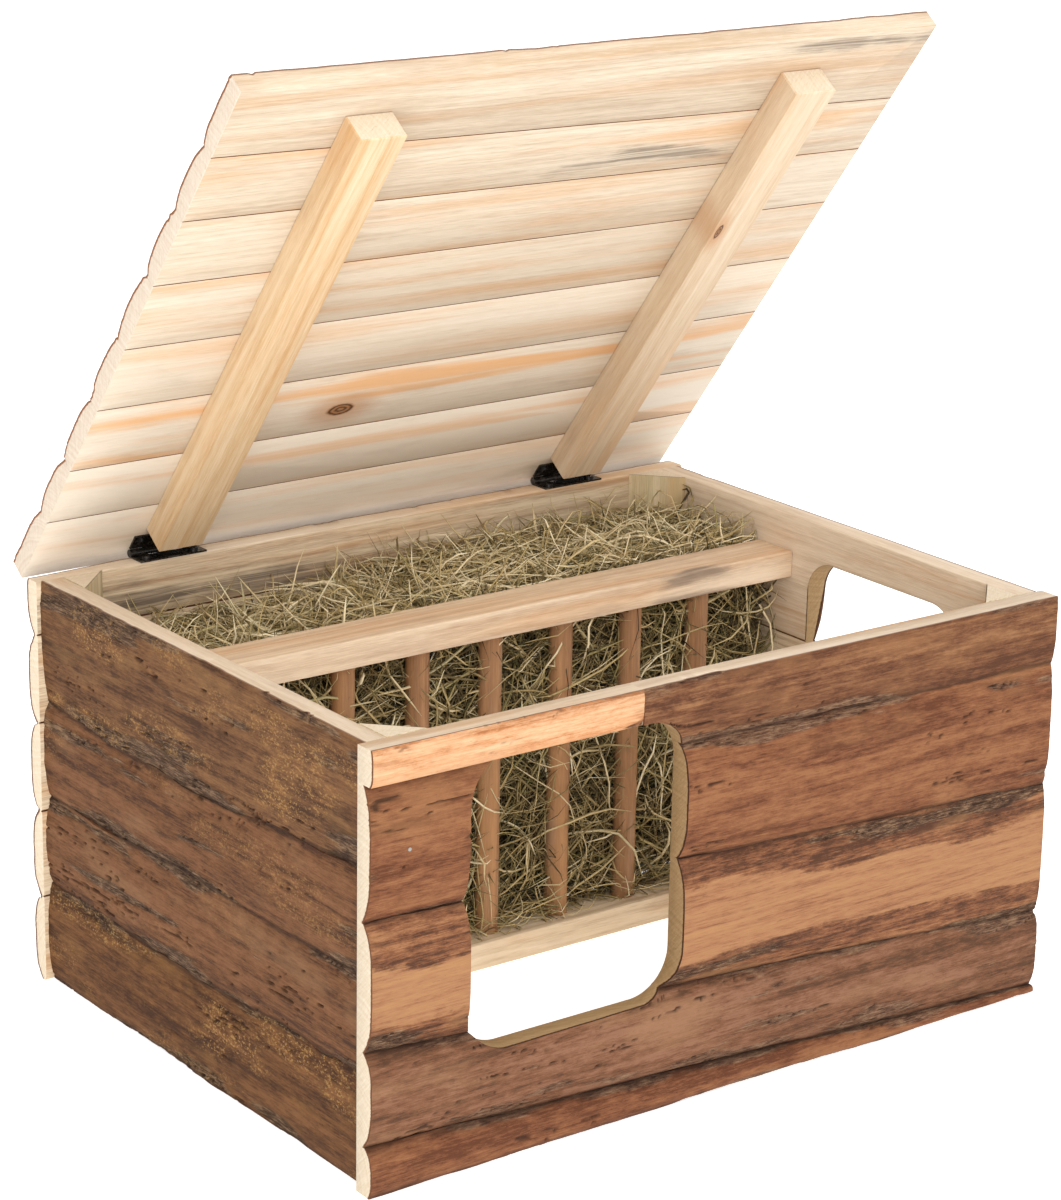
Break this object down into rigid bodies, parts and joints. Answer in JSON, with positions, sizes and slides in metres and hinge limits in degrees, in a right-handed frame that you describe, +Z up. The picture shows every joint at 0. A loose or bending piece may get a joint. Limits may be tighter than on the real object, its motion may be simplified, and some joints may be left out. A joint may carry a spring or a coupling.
{
  "type": "hay rack feeder",
  "caption": "Low house-shaped hay rack feeder of bark slabs with two doorways, an inner dowel rack filled with hay and a slab lid on two butt hinges.",
  "frame": {"origin": "centre of the underside of the bounding box with the lid standing open, level with the ground that the walls stand on", "axes": "+X along the front towards the side wall with a doorway, +Y from the front wall to the back wall with the hinges, +Z up"},
  "size_m": [0.4, 0.3148, 0.477],
  "materials": {
    "bark_slab": "matte",
    "peeled_slab": "matte",
    "planed_wood": "matte",
    "dowel_wood": "matte",
    "batten_wood": "matte",
    "hay": "matte",
    "black_metal": "gloss",
    "steel_brad": "satin"
  },
  "bodies": {
    "house": {"front_lintel": "peeled_slab", "front_top_slab": "bark_slab", "front_upper_slab_left": "bark_slab", "front_upper_slab_right": "bark_slab", "front_middle_slab_left": "peeled_slab", "front_middle_slab_right": "peeled_slab", "front_low_slab": "bark_slab", "front_base_slab": "bark_slab", "left_base_slab": "bark_slab", "left_low_slab": "bark_slab", "left_middle_slab": "bark_slab", "left_top_slab": "bark_slab", "right_base_slab": "bark_slab", "right_low_slab_front": "bark_slab", "right_low_slab_rear": "bark_slab", "right_middle_slab_front": "bark_slab", "right_middle_slab_rear": "bark_slab", "right_top_slab": "bark_slab", "back_base_slab": "bark_slab", "back_low_slab": "bark_slab", "back_middle_slab": "bark_slab", "back_upper_slab": "bark_slab", "back_top_slab": "bark_slab", "post_front_left": "planed_wood", "post_front_right": "planed_wood", "post_back_left": "planed_wood", "post_back_right": "planed_wood", "rack_top_rail": "planed_wood", "rack_bottom_rail": "dowel_wood", "rack_dowel_1": "dowel_wood", "rack_dowel_2": "dowel_wood", "rack_dowel_3": "dowel_wood", "rack_dowel_4": "dowel_wood", "rack_dowel_5": "dowel_wood", "rack_dowel_6": "dowel_wood", "rack_dowel_7": "dowel_wood", "hay": "hay", "hinge_left_house_leaf": "black_metal", "hinge_left_pin": "black_metal", "hinge_right_house_leaf": "black_metal", "hinge_right_pin": "black_metal", "hinge_house_screws": "black_metal", "wall_brads": "steel_brad", "rack_brads": "steel_brad"},
    "lid": {"lid_slab_1": "bark_slab", "lid_slab_2": "bark_slab", "lid_slab_3": "bark_slab", "lid_slab_4": "bark_slab", "lid_slab_5": "bark_slab", "lid_slab_6": "bark_slab", "lid_slab_7": "bark_slab", "lid_slab_8": "bark_slab", "lid_batten_left": "batten_wood", "lid_batten_right": "batten_wood", "hinge_left_lid_leaf": "black_metal", "hinge_right_lid_leaf": "black_metal", "hinge_lid_screws": "black_metal", "lid_brads": "steel_brad"}
  },
  "joints": [
    {"name": "lid_hinge", "type": "hinge", "parent": "house", "child": "lid", "pos_m": [0, 0.14457, 0.21], "axis": [-1, 0, 0], "range_deg": [-50.1, 35.5]}
  ]
}
